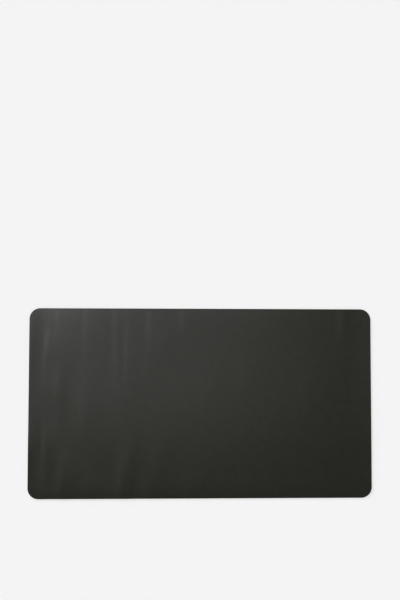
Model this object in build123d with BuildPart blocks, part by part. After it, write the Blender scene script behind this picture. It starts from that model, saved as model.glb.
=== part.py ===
from build123d import *
import os

# Desk mat: one thin, flexible laminate with rounded corners that lies flat on a desk.
#
# Frame: the origin is the centre of the underside, +X runs along the long side, +Y points
# to the back of the desk and +Z is up. All sizes are in millimetres.
#
# The mat is die-cut from a bonded stack of sheets, so every sheet has the same outline.
# The cut edge is then closed all round by a bead of flexible edge paint, which is the
# outermost piece in plan.

# Driving dimensions of the finished mat, over the edge paint
MAT_WIDTH = 800.0
MAT_DEPTH = 441.0
CORNER_RADIUS = 25.0

# The stack from the desk upwards: each sheet's name and thickness
SHEETS = [
    ("suede_base", 0.45),
    ("lower_glue_film", 0.10),
    ("core_sheet", 0.60),
    ("upper_glue_film", 0.10),
    ("backing_cloth", 0.45),
    ("grain_skin", 0.30),
]
MAT_THICKNESS = sum(thickness for name, thickness in SHEETS)

# Edge paint: how far it stands out from the cut, how far it stops short of the desk so
# that only the suede touches it, and how far its outer corners are rounded over
PAINT_BUILD_UP = 0.40
PAINT_DESK_GAP = 0.12
PAINT_ROUNDING = 0.35

# Outline of the die-cut, inside the edge paint
CUT_WIDTH = MAT_WIDTH - 2 * PAINT_BUILD_UP
CUT_DEPTH = MAT_DEPTH - 2 * PAINT_BUILD_UP
CUT_RADIUS = CORNER_RADIUS - PAINT_BUILD_UP


def die_cut_sheet(height, thickness):
    """One sheet of the stack: the die-cut outline, with its underside at this height."""
    with BuildPart() as sheet:
        with BuildSketch(Plane.XY.offset(height)):
            RectangleRounded(CUT_WIDTH, CUT_DEPTH, CUT_RADIUS)
        extrude(amount=thickness)
    return sheet


def edge_paint_bead(low, high):
    """The bead of paint round the cut edge: a closed band whose outer corners are rounded."""
    with BuildPart() as bead:
        with BuildSketch(Plane.XY.offset(low)):
            RectangleRounded(MAT_WIDTH, MAT_DEPTH, CORNER_RADIUS)
        extrude(amount=high - low)
        fillet(bead.faces().filter_by(Axis.Z).edges(), radius=PAINT_ROUNDING)
        with BuildSketch(Plane.XY.offset(low)):
            RectangleRounded(CUT_WIDTH, CUT_DEPTH, CUT_RADIUS)
        extrude(amount=high - low, mode=Mode.SUBTRACT)
    return bead


def save(piece, name):
    """Labels a finished piece and writes it as its own STEP file."""
    piece.part.label = name
    export_step(piece.part, f"parts/{name}.step")
    print(f"{name}: {piece.part.volume / 1000:.1f} cm3")


os.makedirs("parts", exist_ok=True)

sheet_height = 0.0
for sheet_name, sheet_thickness in SHEETS:
    save(die_cut_sheet(sheet_height, sheet_thickness), sheet_name)
    sheet_height += sheet_thickness

save(edge_paint_bead(PAINT_DESK_GAP, MAT_THICKNESS), "edge_paint")
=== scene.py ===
import math

import bpy
import numpy as np
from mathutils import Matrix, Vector, noise


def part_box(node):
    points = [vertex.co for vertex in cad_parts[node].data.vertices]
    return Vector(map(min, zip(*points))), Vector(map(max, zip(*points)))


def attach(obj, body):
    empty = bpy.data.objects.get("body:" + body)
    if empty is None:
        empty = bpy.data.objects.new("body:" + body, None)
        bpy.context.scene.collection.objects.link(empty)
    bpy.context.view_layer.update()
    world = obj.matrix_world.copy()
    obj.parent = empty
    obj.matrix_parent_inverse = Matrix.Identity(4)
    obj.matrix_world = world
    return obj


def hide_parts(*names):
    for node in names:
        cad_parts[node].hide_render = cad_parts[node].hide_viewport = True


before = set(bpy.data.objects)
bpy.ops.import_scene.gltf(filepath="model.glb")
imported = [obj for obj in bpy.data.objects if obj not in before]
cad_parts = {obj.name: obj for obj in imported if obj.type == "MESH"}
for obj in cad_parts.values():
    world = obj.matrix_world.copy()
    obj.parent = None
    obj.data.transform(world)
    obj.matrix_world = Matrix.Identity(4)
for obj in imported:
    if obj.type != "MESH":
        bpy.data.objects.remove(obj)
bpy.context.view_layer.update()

# A desk mat: a bonded stack of thin sheets whose cut edge is closed by a bead of edge paint.
# It lies on a pale floor and keeps the faint ripples of having been rolled up. Lengths are in
# metres, except in the list of ripples. Angles of lights, camera and creases are in degrees.
MM = 0.001

# The stack from the desk upwards. Each CAD layer is shown by a sheet that follows the ripples.
LAYERS = [
    "suede_base",
    "lower_glue_film",
    "core_sheet",
    "upper_glue_film",
    "backing_cloth",
    "grain_skin",
]

# Outline of the cut sheets and of the bead round them, from the CAD boxes
CORNER_RADIUS = 25 * MM
cut_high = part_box("grain_skin")[1]
bead_low, bead_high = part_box("edge_paint")
HALF_WIDTH, HALF_DEPTH = cut_high.x, cut_high.y
BEAD_BUILD_UP = bead_high.x - cut_high.x
CUT_RADIUS = CORNER_RADIUS - BEAD_BUILD_UP
CENTRE_X, CENTRE_Y = HALF_WIDTH - CUT_RADIUS, HALF_DEPTH - CUT_RADIUS  # of a corner's arc

# Mesh fineness
COLUMN_STEP = 3 * MM
ROW_COUNT = 88
ARC_COLUMNS = 14
BEAD_PROFILE_POINTS = 12

# Ripples left by the roll, in millimetres: the crest's x and y, the half width of its left
# flank and of its right flank, its half length towards the back and front, its height, and
# how far the crest line leans in x for each millimetre of y. A negative height is a hollow.
RIPPLES = [
    # low, broad swells: under the middle, towards the left and along the long edges
    (0, -85, 320, 700, 125, 0.95, 0.00),
    (-205, -130, 100, 110, 110, 0.50, 0.00),
    (-150, 20, 110, 140, 120, 0.30, 0.00),
    (-255, -235, 110, 110, 70, 0.50, 0.00),
    (140, 215, 220, 160, 75, 0.90, 0.00),
    # along the left end
    (-408, 0, 10, 62, 400, 1.30, 0.00),
    (-402, 145, 8, 20, 80, 1.30, 0.00),
    (-402, -112, 8, 18, 55, 1.50, 0.00),
    (-374, -118, 20, 10, 55, -0.65, 0.00),
    # from the back edge
    (-355, 130, 10, 60, 50, 0.42, 0.10),
    (-330, 190, 9, 45, 40, 0.15, 0.00),
    (-297, 140, 40, 40, 90, 0.35, 0.00),
    (-265, 165, 8, 50, 60, 0.20, 0.00),
    (-232, 165, 40, 22, 65, 0.25, 0.00),
    (-196, 190, 10, 40, 40, 0.25, 0.00),
    (-195, 115, 10, 13, 60, 0.35, 0.00),
    (-169, 120, 10, 32, 80, 0.50, 0.00),
    (-115, 180, 11, 50, 60, 0.38, 0.00),
    (-86, 140, 45, 30, 40, 0.40, 0.00),
    (-38, 195, 11, 50, 50, 0.40, 0.00),
    # across the middle
    (-358, 45, 12, 14, 35, 0.25, 0.00),
    (-331, 30, 17, 16, 50, 0.78, -0.02),
    (-359, -95, 10, 40, 65, 0.60, 0.00),
    (-330, -65, 11, 18, 60, 0.45, 0.00),
    (-265, -20, 22, 40, 105, 0.75, 0.01),
    (-182, 20, 22, 36, 70, 0.42, 0.00),
    (-128, 70, 16, 30, 40, 0.20, 0.00),
    # from the front edge
    (-320, -172, 12, 28, 65, 1.30, 0.04),
    (-259, -180, 13, 34, 60, 0.65, 0.00),
    (-222, -155, 35, 30, 40, -0.25, 0.00),
    (-183, -185, 14, 26, 70, 1.40, 0.05),
    (-150, -165, 24, 22, 50, -0.45, 0.00),
    (-109, -168, 15, 40, 65, 0.75, 0.03),
    (-62, -145, 45, 40, 45, -0.28, 0.00),
    (-26, -185, 12, 40, 60, 0.45, 0.00),
    # the fainter ones to the right
    (15, 30, 16, 40, 60, 0.20, 0.00),
    (100, 60, 16, 50, 60, 0.20, 0.00),
    (250, 20, 16, 50, 60, 0.15, 0.00),
    (335, 195, 12, 40, 50, 0.30, 0.00),
]
# The right end curls up and the long edges settle down to the desk: width and height
RIGHT_CURL = (55 * MM, 0.75 * MM)
LONG_EDGE_SETTLE = (30 * MM, 0.4 * MM)


def lift(x, y):
    """Height of the mat's underside at points x, y, before the mat settles on the desk."""
    height = np.zeros_like(x)
    for crest_x, crest_y, left, right, length, top, lean in RIPPLES:
        along = y / MM - crest_y
        across = x / MM - crest_x - lean * along
        flank = np.where(across < 0, left, right)
        height += top * MM * np.exp(-((across / flank) ** 2) - (along / length) ** 2)
    width, top = RIGHT_CURL
    height += top * np.clip(1 - (HALF_WIDTH - x) / width, 0, 1) ** 2
    width, top = LONG_EDGE_SETTLE
    height += top * (1 - np.clip(1 - (HALF_DEPTH - np.abs(y)) / width, 0, 1) ** 2)
    return height


# ---------------------------------------------------------------- meshes


def grid_of_outline():
    """Points of the cut outline as a grid [column, row, xy]: columns run from left to right,
    and each one spans the outline from the front to the back, so that its ends lie on it."""
    turn = np.linspace(0, math.pi / 2, ARC_COLUMNS + 1)
    arc_x = CENTRE_X + CUT_RADIUS * np.sin(turn)
    straight_count = round(2 * CENTRE_X / COLUMN_STEP)
    straight_x = np.linspace(-CENTRE_X, CENTRE_X, straight_count + 1)
    columns = np.concatenate([-arc_x[:0:-1], straight_x, arc_x[1:]])
    over = np.clip(np.abs(columns) - CENTRE_X, 0, CUT_RADIUS)
    reach = CENTRE_Y + np.sqrt(CUT_RADIUS**2 - over**2)
    rows = np.linspace(-1, 1, ROW_COUNT + 1)
    x = np.repeat(columns[:, None], len(rows), axis=1)
    y = reach[:, None] * rows
    return np.stack([x, y], axis=2)


GRID = grid_of_outline()
LIFT = lift(GRID[..., 0], GRID[..., 1])
LIFT -= LIFT.min()  # the lowest point rests on the desk
COLUMNS, ROWS = LIFT.shape


def rim_indices():
    """The grid's outer points in order, anticlockwise from the front left."""
    front = [(column, 0) for column in range(COLUMNS)]
    right = [(COLUMNS - 1, row) for row in range(1, ROWS)]
    back = [(column, ROWS - 1) for column in range(COLUMNS - 2, -1, -1)]
    left = [(0, row) for row in range(ROWS - 2, 0, -1)]
    return np.array(front + right + back + left)


RIM = rim_indices()


def make_piece(name, vertices, faces, sharp_angle):
    """A smooth-shaded mesh object, with edges sharp where its faces turn by more than the angle."""
    mesh = bpy.data.meshes.new(name)
    mesh.from_pydata(vertices.tolist(), [], faces.tolist())
    mesh.validate()
    mesh.shade_smooth()
    mesh.set_sharp_from_angle(angle=math.radians(sharp_angle))
    piece = bpy.data.objects.new(name, mesh)
    bpy.context.scene.collection.objects.link(piece)
    return piece


def laid_sheet(layer):
    """One closed sheet of the stack, laid over the ripples, in place of its CAD layer."""
    low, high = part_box(layer)
    flat = GRID.reshape(-1, 2)
    bottom = np.column_stack([flat, LIFT.ravel() + low.z])
    top = np.column_stack([flat, LIFT.ravel() + high.z])
    index = np.arange(COLUMNS * ROWS).reshape(COLUMNS, ROWS)
    quads = np.stack([index[:-1, :-1], index[1:, :-1], index[1:, 1:], index[:-1, 1:]], axis=2)
    quads = quads.reshape(-1, 4)
    rim = index[RIM[:, 0], RIM[:, 1]]
    ahead = np.roll(rim, -1)
    walls = np.column_stack([rim, ahead, ahead + index.size, rim + index.size])
    faces = np.concatenate([quads[:, ::-1], quads + index.size, walls])
    vertices = np.concatenate([bottom, top])
    piece = make_piece(layer + "_laid", vertices, faces, sharp_angle=40)
    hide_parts(layer)
    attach(piece, "root")
    return piece


def bead_section():
    """The bead's section from bottom to top: how far out each point is, from 0 at the cut edge
    to 1, and how high, from -1 to 1."""
    squareness = 0.45  # 1 is an ellipse, 0 a rectangle
    turn = np.linspace(-math.pi / 2, math.pi / 2, BEAD_PROFILE_POINTS)
    bulge = np.cos(turn).clip(0) ** squareness
    rise = np.sign(turn) * np.abs(np.sin(turn)) ** squareness
    return bulge, rise


def hand_laid_build_up(rim):
    """Thickness of the paint at each point of the rim, slightly uneven."""
    unevenness = 0.06
    wavelength = 9 * MM
    swell = np.array([noise.noise(Vector((x / wavelength, y / wavelength, 0))) for x, y in rim])
    return BEAD_BUILD_UP * (1 - unevenness + unevenness * swell)


def paint_bead():
    """The bead of edge paint: a closed band round the cut edge, full in the middle of its
    height and rounded over at the top and bottom."""
    rim = GRID[RIM[:, 0], RIM[:, 1]]
    outward = rim - np.clip(rim, [-CENTRE_X, -CENTRE_Y], [CENTRE_X, CENTRE_Y])
    outward /= np.linalg.norm(outward, axis=1, keepdims=True)
    middle, half_height = (bead_low.z + bead_high.z) / 2, (bead_high.z - bead_low.z) / 2
    bulge, rise = bead_section()
    build_up = hand_laid_build_up(rim)
    out = rim[:, None, :] + (build_up[:, None] * bulge)[..., None] * outward[:, None, :]
    height = LIFT[RIM[:, 0], RIM[:, 1]][:, None] + middle + half_height * rise
    vertices = np.concatenate([out, height[..., None]], axis=2).reshape(-1, 3)
    index = np.arange(len(vertices)).reshape(len(rim), BEAD_PROFILE_POINTS)
    ahead = np.roll(index, -1, axis=0)
    around, ahead_around = np.roll(index, -1, axis=1), np.roll(ahead, -1, axis=1)
    faces = np.stack([index, ahead, ahead_around, around], axis=2).reshape(-1, 4)
    piece = make_piece("edge_paint_bead", vertices, faces, sharp_angle=60)
    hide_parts("edge_paint")
    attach(piece, "root")
    return piece


# ---------------------------------------------------------------- shader helpers

NOISE_LOW, NOISE_HIGH = 0.3, 0.7  # most of a noise lies between these


def add_node(tree, kind, inputs=None, **settings):
    """A shader node with its settings, each input linked to a socket or set to a value."""
    made = tree.nodes.new(kind)
    for name, value in settings.items():
        setattr(made, name, value)
    for name, value in (inputs or {}).items():
        if isinstance(value, bpy.types.NodeSocket):
            tree.links.new(value, made.inputs[name])
        else:
            made.inputs[name].default_value = value
    return made


def new_material(name, constants=None):
    """A material and its tree, shader and position in metres. Constants go on the shader."""
    material = bpy.data.materials.new(name)
    material.use_nodes = True
    tree = material.node_tree
    shader = tree.nodes["Principled BSDF"]
    for socket, value in (constants or {}).items():
        shader.inputs[socket].default_value = value
    place = add_node(tree, "ShaderNodeTexCoord").outputs["Object"]
    return material, tree, shader, place


def noise_value(tree, place, size, detail=2.0, stretch=None):
    """Noise from 0 to 1, with features about size across. A stretch is a scale for x, y and z:
    features are longer along an axis where it is under 1."""
    if stretch:
        scaling = {"Vector": place, "Scale": stretch}
        place = add_node(tree, "ShaderNodeMapping", scaling).outputs[0]
    pattern = {"Vector": place, "Scale": 1 / size, "Detail": detail}
    return add_node(tree, "ShaderNodeTexNoise", pattern).outputs["Fac"]


def warped(tree, place, size, reach):
    """The position shifted in x and y by up to reach, by an amount that varies over size."""
    pattern = {"Vector": place, "Scale": 1 / size, "Detail": 2.0}
    random = add_node(tree, "ShaderNodeTexNoise", pattern).outputs["Color"]
    sideways = {0: random, 1: (reach, reach, 0)}
    shift = add_node(tree, "ShaderNodeVectorMath", sideways, operation="MULTIPLY").outputs[0]
    moved = add_node(tree, "ShaderNodeVectorMath", {0: place, 1: shift}, operation="ADD")
    return moved.outputs[0]


def cell_distance(tree, place, size, feature="F1"):
    """Distance from the middle of the nearest of many irregular cells about size across, or from
    the cell's edge if the feature is DISTANCE_TO_EDGE, where 1 is the size."""
    pattern = {"Vector": place, "Scale": 1 / size}
    made = add_node(tree, "ShaderNodeTexVoronoi", pattern, feature=feature)
    return made.outputs["Distance"]


def thread_rows(tree, place, pitch, direction):
    """Slightly wavering rows of thread that follow each other along X or Y: 1 on a thread's
    crest and 0 between two threads."""
    pattern = {
        "Vector": place,
        "Scale": math.pi / (10 * pitch),  # the node's own scale for a wave as long as the pitch
        "Distortion": 0.6,
        "Detail Scale": 2.0,
    }
    return add_node(tree, "ShaderNodeTexWave", pattern, bands_direction=direction).outputs["Fac"]


def spread(tree, value, low, high, to_low=0.0, to_high=1.0):
    """Value from low..high to to_low..to_high, eased and held at the ends."""
    made = add_node(
        tree,
        "ShaderNodeMapRange",
        {"Value": value, "From Min": low, "From Max": high, "To Min": to_low, "To Max": to_high},
        interpolation_type="SMOOTHSTEP",
    )
    return made.outputs["Result"]


def spread_noise(tree, value, to_low, to_high):
    """A noise spread over to_low..to_high."""
    return spread(tree, value, NOISE_LOW, NOISE_HIGH, to_low, to_high)


def calculate(tree, operation, first, second):
    """A math node's value."""
    made = add_node(tree, "ShaderNodeMath", {0: first, 1: second}, operation=operation)
    return made.outputs[0]


def shades(tree, tone, colour, darkest, lightest):
    """The colour, scaled by the darkest factor where the tone is 0 and by the lightest at 1."""
    dark = [part * darkest for part in colour] + [1]
    light = [part * lightest for part in colour] + [1]
    ends = {"Factor": tone, "A": dark, "B": light}
    return add_node(tree, "ShaderNodeMix", ends, data_type="RGBA").outputs["Result"]


def finish_material(tree, shader, colour, roughness, height, strength, depth):
    """Links the colour, the roughness and a bump of that depth in metres."""
    relief = {"Strength": strength, "Distance": depth, "Height": height}
    bump = add_node(tree, "ShaderNodeBump", relief)
    tree.links.new(colour, shader.inputs["Base Color"])
    tree.links.new(roughness, shader.inputs["Roughness"])
    tree.links.new(bump.outputs["Normal"], shader.inputs["Normal"])


# ---------------------------------------------------------------- materials


def faux_leather():
    """Olive-black polyurethane skin: fine rounded pebbles between creases, with painted shade
    darkening the creases, softly mottled.
    """
    colour = (0.0245, 0.0243, 0.0170)
    pebble_size = 1.1 * MM
    crease_width = 0.22  # of one side of a crease, where 1 is the size of a pebble
    pore_depth = 0.35  # where 1 is the depth of a crease
    mottling = 0.18
    material, tree, shader, place = new_material("faux_leather")
    wandering = warped(tree, place, 3 * MM, 0.7 * MM)
    from_crease = cell_distance(tree, wandering, pebble_size, feature="DISTANCE_TO_EDGE")
    plateau = spread(tree, from_crease, 0.0, crease_width)
    pores = calculate(tree, "MULTIPLY", noise_value(tree, place, 0.35 * MM), pore_depth)
    height = calculate(tree, "ADD", pores, plateau)
    mottle = noise_value(tree, place, 16 * MM, detail=4.0)
    # The colour is darker in the creases as painted shade, and mottled at random over that.
    tone = calculate(tree, "ADD", plateau, spread_noise(tree, mottle, -mottling, mottling))
    colours = shades(tree, tone, colour, 0.72, 1.11)
    sheen = noise_value(tree, place, 20 * MM, detail=4.0)
    roughness = spread_noise(tree, sheen, 0.246, 0.259)
    finish_material(tree, shader, colours, roughness, height, strength=0.14, depth=0.05 * MM)
    return material


def edge_paint():
    """Dark paint with fine specks and a faint hand-laid waviness."""
    colour = (0.0165, 0.0152, 0.0118)
    speck_height = 0.3  # where 1 is the height of a wave
    material, tree, shader, place = new_material("edge_paint")
    waves = noise_value(tree, place, 5 * MM)
    specks = noise_value(tree, place, 0.5 * MM)
    colours = shades(tree, specks, colour, 0.8, 1.25)
    roughness = spread_noise(tree, waves, 0.32, 0.46)
    height = calculate(tree, "ADD", calculate(tree, "MULTIPLY", specks, speck_height), waves)
    finish_material(tree, shader, colours, roughness, height, strength=0.3, depth=0.08 * MM)
    return material


def suede():
    """Charcoal microfibre suede with a soft brushed nap."""
    colour = (0.030, 0.0275, 0.0225)
    soft = {"Sheen Weight": 0.25, "Sheen Roughness": 0.45, "Specular IOR Level": 0.2}
    material, tree, shader, place = new_material("suede", soft)
    nap = noise_value(tree, place, 0.45 * MM, detail=3.0, stretch=(1.0, 0.45, 1.0))
    brushed = noise_value(tree, place, 26 * MM, detail=3.0, stretch=(1.0, 0.6, 1.0))
    tone = spread(tree, calculate(tree, "MULTIPLY", nap, brushed), 0.1, 0.42)
    colours = shades(tree, tone, colour, 0.6, 1.45)
    roughness = spread_noise(tree, nap, 0.86, 0.98)
    finish_material(tree, shader, colours, roughness, nap, strength=0.7, depth=0.15 * MM)
    return material


def knitted_cloth():
    """Fine grey jersey: rows of loops, darker between the loops as painted shade, with a slight
    unevenness of the yarn.
    """
    colour = (0.040, 0.039, 0.036)
    wale, course = 0.9 * MM, 0.65 * MM  # from one loop to the next, across and along the knit
    material, tree, shader, place = new_material("knitted_cloth", {"Specular IOR Level": 0.2})
    wales = thread_rows(tree, place, wale, "X")
    courses = thread_rows(tree, place, course, "Y")
    loops = calculate(tree, "MULTIPLY", wales, courses)
    yarn = noise_value(tree, place, 4 * MM)
    # Darker between the loops, where the bump dips: painted shade. The yarn's unevenness is its
    # own.
    tone = calculate(tree, "MULTIPLY", loops, spread_noise(tree, yarn, 0.7, 1.0))
    colours = shades(tree, tone, colour, 0.45, 1.5)
    roughness = spread_noise(tree, yarn, 0.85, 0.95)
    finish_material(tree, shader, colours, roughness, loops, strength=0.6, depth=0.12 * MM)
    return material


def glue_film():
    """Pale amber adhesive: flowed into streaks, with tiny bubbles whose dips are darkened with
    painted shade.
    """
    colour = (0.42, 0.34, 0.19)
    material, tree, shader, place = new_material("glue_film")
    streaks = noise_value(tree, place, 9 * MM, detail=3.0, stretch=(0.25, 1.0, 1.0))
    around_bubbles = spread(tree, cell_distance(tree, place, 2.4 * MM), 0.1, 0.3)
    # The bubbles are dips in the bump and darker in colour: painted shade. The streaks are the
    # film's own.
    tone = calculate(tree, "MULTIPLY", streaks, around_bubbles)
    colours = shades(tree, tone, colour, 0.7, 1.15)
    roughness = spread_noise(tree, streaks, 0.28, 0.42)
    finish_material(tree, shader, colours, roughness, tone, strength=0.3, depth=0.05 * MM)
    return material


def foamed_rubber():
    """Dark foamed rubber: closed cells whose pits are darkened with painted shade, and a little
    chalky bloom.
    """
    colour = (0.012, 0.012, 0.0125)
    material, tree, shader, place = new_material("foamed_rubber", {"Specular IOR Level": 0.3})
    pits = spread(tree, cell_distance(tree, place, 0.8 * MM), 0.05, 0.45)
    bloom = noise_value(tree, place, 18 * MM, detail=4.0)
    # Darker in the pits of the cells as painted shade; the chalky bloom is the rubber's own.
    tone = calculate(tree, "MULTIPLY", pits, bloom)
    colours = shades(tree, tone, colour, 0.6, 2.4)
    roughness = spread_noise(tree, bloom, 0.78, 0.92)
    finish_material(tree, shader, colours, roughness, pits, strength=0.5, depth=0.1 * MM)
    return material


# ---------------------------------------------------------------- the mat


def build_mat():
    """The six sheets and the bead, with their finishes."""
    bead = paint_bead()
    bead.data.materials.append(edge_paint())
    glue = glue_film()
    finishes = {
        "suede_base": ("suede_base", suede()),
        "lower_glue_film": ("glue_film", glue),
        "core_sheet": ("core_sheet", foamed_rubber()),
        "upper_glue_film": ("glue_film", glue),
        "backing_cloth": ("backing_cloth", knitted_cloth()),
        "grain_skin": ("grain_skin", faux_leather()),
    }
    for layer in LAYERS:
        sheet = laid_sheet(layer)
        slot, material = finishes[layer]
        sheet.data.materials.append(material)


# ---------------------------------------------------------------- studio

WHITE = (1, 1, 1, 1)
PAPER_BRIGHTNESS = 0.905  # how bright the backdrop looks, like the floor
WALL_LIGHT, CEILING_LIGHT = 0.30, 0.10
CEILING_FROM = 0.6  # height, on a sphere of radius 1, from which the ceiling's light comes
FLOOR_HALF_SIZE = 30.0
FLOOR_WHITENESS = 0.8
FLOOR_GLOW = 0.445
LENS, SENSOR_WIDTH = 50, 36  # in millimetres
CAMERA_PLACE = (-0.0737, 0.1406, 1.9560)
CAMERA_TILT = (2.934, -2.079, 0.126)  # about X, Y and Z


def direction(azimuth, elevation):
    """Unit vector at that angle anticlockwise from +X and above the floor."""
    turn, climb = math.radians(azimuth), math.radians(elevation)
    level = math.cos(climb)
    return Vector((level * math.cos(turn), level * math.sin(turn), math.sin(climb)))


def soft_sun(name, azimuth, elevation, spread_angle, strength):
    """A wide, distant light, which lights the whole floor evenly."""
    lamp = bpy.data.lights.new(name, "SUN")
    lamp.energy = strength
    lamp.angle = math.radians(spread_angle)
    holder = bpy.data.objects.new(name, lamp)
    holder.rotation_euler = direction(azimuth, elevation).to_track_quat("Z", "Y").to_euler()
    bpy.context.scene.collection.objects.link(holder)
    return holder


def build_lights():
    """A key light high at the left that makes the sheen and shows the ripples, a weak soft light
    overhead, and a low fill from the back left that only softens the shadow at the edges."""
    soft_sun("key_light", azimuth=156, elevation=67.5, spread_angle=12, strength=0.90)
    soft_sun("top_light", azimuth=94, elevation=86, spread_angle=21, strength=0.095)
    fill = soft_sun("fill_light", azimuth=135, elevation=22, spread_angle=34, strength=1.33)
    fill.visible_glossy = False


def build_world():
    """A pale studio: white behind the mat, dimmer walls and a dark ceiling as light."""
    world = bpy.data.worlds.new("studio")
    bpy.context.scene.world = world
    world.use_nodes = True
    tree = world.node_tree
    tree.nodes.clear()
    facing = add_node(tree, "ShaderNodeTexCoord").outputs["Generated"]
    climb = add_node(tree, "ShaderNodeSeparateXYZ", {"Vector": facing}).outputs["Z"]
    light = spread(tree, climb, 0.0, CEILING_FROM, WALL_LIGHT, CEILING_LIGHT)
    room = add_node(tree, "ShaderNodeBackground", {"Color": WHITE, "Strength": light})
    paper = add_node(tree, "ShaderNodeBackground", {"Color": WHITE, "Strength": PAPER_BRIGHTNESS})
    seen = add_node(tree, "ShaderNodeLightPath").outputs["Is Camera Ray"]
    choice = {0: seen, 1: room.outputs[0], 2: paper.outputs[0]}
    either = add_node(tree, "ShaderNodeMixShader", choice)
    add_node(tree, "ShaderNodeOutputWorld", {"Surface": either.outputs[0]})


def build_floor():
    """A plain, pale, even floor that takes a soft shadow."""
    half = FLOOR_HALF_SIZE
    mesh = bpy.data.meshes.new("floor")
    corners = [(-half, -half, 0), (half, -half, 0), (half, half, 0), (-half, half, 0)]
    mesh.from_pydata(corners, [], [(0, 1, 2, 3)])
    floor = bpy.data.objects.new("floor", mesh)
    bpy.context.scene.collection.objects.link(floor)
    material = bpy.data.materials.new("floor")
    material.use_nodes = True
    shader = material.node_tree.nodes["Principled BSDF"]
    shader.inputs["Base Color"].default_value = (FLOOR_WHITENESS,) * 3 + (1,)
    shader.inputs["Roughness"].default_value = 1.0
    shader.inputs["Specular IOR Level"].default_value = 0.0
    shader.inputs["Emission Color"].default_value = WHITE
    shader.inputs["Emission Strength"].default_value = FLOOR_GLOW
    mesh.materials.append(material)


def build_camera():
    """Almost straight above the mat, which lies in the lower half of an upright picture."""
    camera = bpy.data.cameras.new("camera")
    camera.lens = LENS
    camera.sensor_width = SENSOR_WIDTH
    holder = bpy.data.objects.new("camera", camera)
    holder.location = CAMERA_PLACE
    holder.rotation_euler = [math.radians(angle) for angle in CAMERA_TILT]
    bpy.context.scene.collection.objects.link(holder)
    bpy.context.scene.camera = holder


build_mat()
build_floor()
build_world()
build_lights()
build_camera()
bpy.context.scene.view_settings.view_transform = "Standard"
